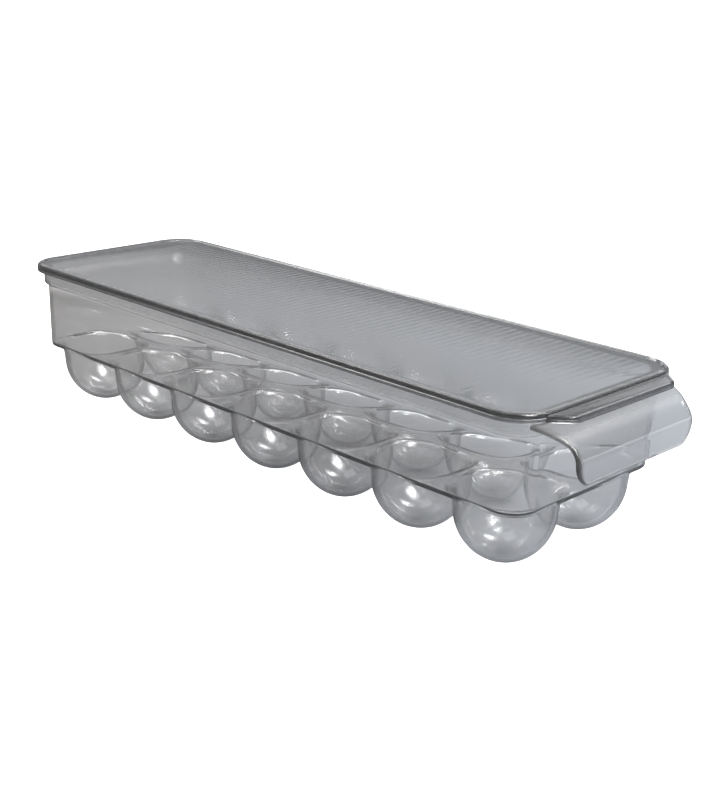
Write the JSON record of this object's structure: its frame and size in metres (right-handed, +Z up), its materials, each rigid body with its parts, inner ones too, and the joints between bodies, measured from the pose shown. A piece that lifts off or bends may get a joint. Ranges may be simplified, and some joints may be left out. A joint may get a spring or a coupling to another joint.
{
  "type": "covered egg holder tray",
  "caption": "Long clear smoke-tinted egg tray with round cups under its floor, a curved front pull handle and a flat lift-off lid with a pull tab.",
  "frame": {"origin": "centre of the object's box at the plane the cup feet rest on", "axes": "+Z up; +Y along the tray to the back, the pull handle faces -Y; +X to the right when seen from the handle"},
  "size_m": [0.1104, 0.3594, 0.076],
  "materials": {
    "tray_plastic": "clear, light smoke tint, polished",
    "lid_plastic": "clear, light smoke tint, polished, fine cross ribs under the panel"
  },
  "bodies": {
    "tray": {"egg_cup_01": "tray_plastic", "egg_cup_02": "tray_plastic", "egg_cup_03": "tray_plastic", "egg_cup_04": "tray_plastic", "egg_cup_05": "tray_plastic", "egg_cup_06": "tray_plastic", "egg_cup_07": "tray_plastic", "egg_cup_08": "tray_plastic", "egg_cup_09": "tray_plastic", "egg_cup_10": "tray_plastic", "egg_cup_11": "tray_plastic", "egg_cup_12": "tray_plastic", "egg_cup_13": "tray_plastic", "egg_cup_14": "tray_plastic", "cup_floor": "tray_plastic", "side_wall": "tray_plastic", "tray_rim": "tray_plastic", "pull_handle": "tray_plastic"},
    "lid": {"lid_rim": "lid_plastic", "lid_panel": "lid_plastic", "lid_pull_tab": "lid_plastic"}
  },
  "joints": [
    {"name": "lid_lift", "type": "slide", "parent": "tray", "child": "lid", "axis": [0, 0, 1], "range_m": [0, 0.09]}
  ]
}
